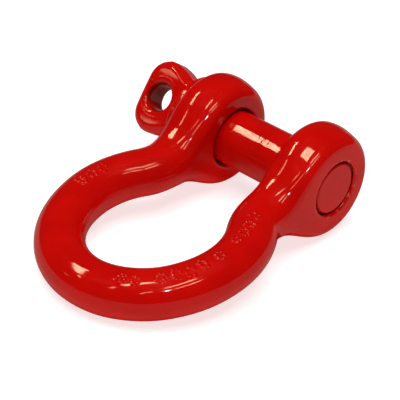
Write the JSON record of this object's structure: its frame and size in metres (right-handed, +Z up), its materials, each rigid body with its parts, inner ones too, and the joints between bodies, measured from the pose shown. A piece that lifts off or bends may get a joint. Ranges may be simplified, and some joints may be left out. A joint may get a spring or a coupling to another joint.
{
  "type": "screw pin bow shackle",
  "caption": "Forged bow shackle with a plain ear, a tapped ear and a collared screw pin with an eye, painted gloss red.",
  "frame": {"origin": "centre of the bottom of the bounding box, on the flat surface that the shackle lies on", "axes": "+X from the crown of the bow towards the jaw, +Y along the pin towards its eye, which is the way the pin leaves, +Z up. The bow leans 8 degrees from level, crown down, as it does when it lies on its two ears and its crown"},
  "size_m": [0.1276, 0.109, 0.0447],
  "materials": {
    "bow_paint": "thick high-gloss red paint over forged steel",
    "pin_paint": "thick high-gloss red paint over forged steel"
  },
  "bodies": {
    "bow": {"bow_body": "bow_paint"},
    "pin": {"screw_pin": "pin_paint"}
  },
  "joints": [
    {"name": "pin_withdraw", "type": "slide", "parent": "bow", "child": "pin", "axis": [0, 1, 0], "range_m": [0, 0.075]}
  ]
}
